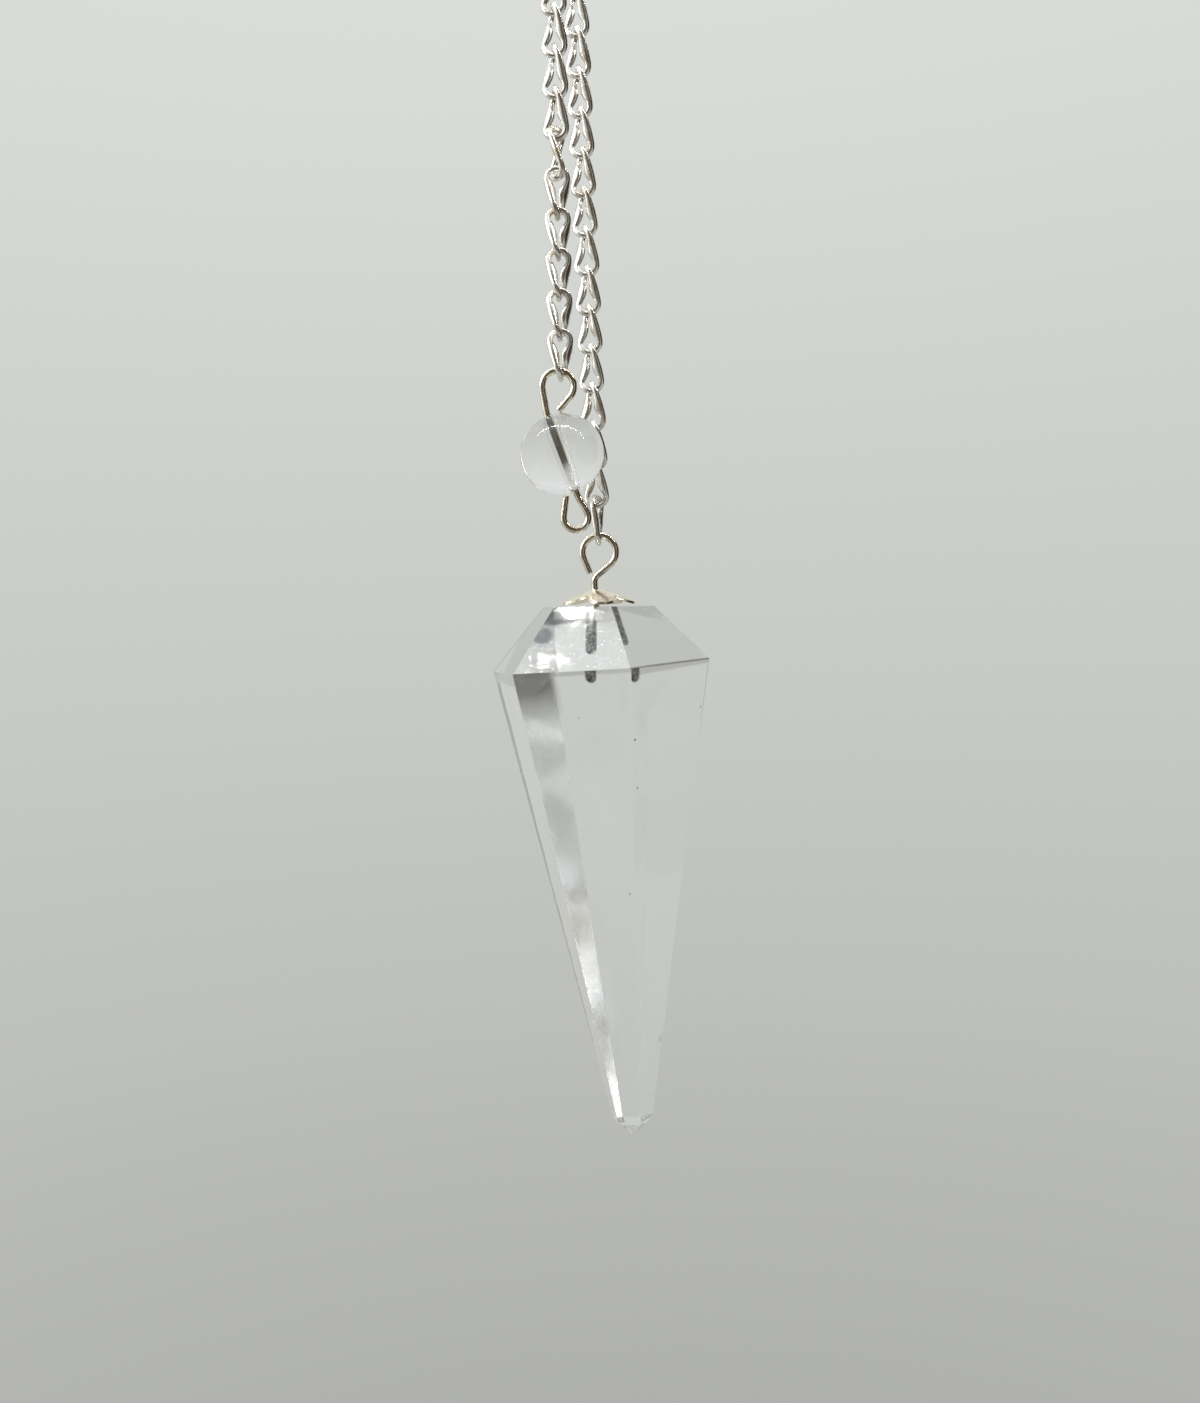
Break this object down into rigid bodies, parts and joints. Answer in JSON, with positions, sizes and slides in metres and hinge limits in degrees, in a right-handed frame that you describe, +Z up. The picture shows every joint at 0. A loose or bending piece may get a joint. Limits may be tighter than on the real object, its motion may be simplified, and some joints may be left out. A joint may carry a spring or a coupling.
{
  "type": "pendulum pendant",
  "caption": "Faceted clear quartz pendulum under a petal cap and wire eye, on a folded curb chain with a round bead as the grip.",
  "frame": {"origin": "on the axis of the thin hook or peg that the folded chain hangs over", "axes": "+Z up along the hanging chain, +X along the hook to the viewer's right, +Y away from the viewer; the bead's strand is on the -Y side"},
  "size_m": [0.0215, 0.0212, 0.1622],
  "materials": {
    "silver_plate": "bright silver plate on brass, warm brown tarnish in the link ends",
    "plated_wire": "silver plated wire, slightly dulled and warm",
    "champagne_plate": "pale champagne plate with bright rims",
    "crystal_quartz": "polished clear rock crystal with fine scratches and a few inclusions",
    "bead_quartz": "polished clear rock crystal",
    "grey_cement": "dark grey speckled cement"
  },
  "bodies": {
    "root": {"chain": "silver_plate", "bead_pin": "plated_wire"},
    "bead": {"bead": "bead_quartz"},
    "drop": {"eye_peg": "plated_wire", "bead_cap": "champagne_plate", "crystal": "crystal_quartz", "cement": "grey_cement"}
  },
  "joints": [
    {"name": "drop_swing", "type": "hinge", "parent": "root", "child": "drop", "pos_m": [0, 0.00201, -0.0997], "axis": [0, 1, 0], "range_deg": [-60, 60]},
    {"name": "bead_spin", "type": "hinge", "parent": "root", "child": "bead", "pos_m": [-0.00315, -0.00248, -0.09141], "axis": [-0.309, 0, 0.9511], "continuous": true}
  ]
}
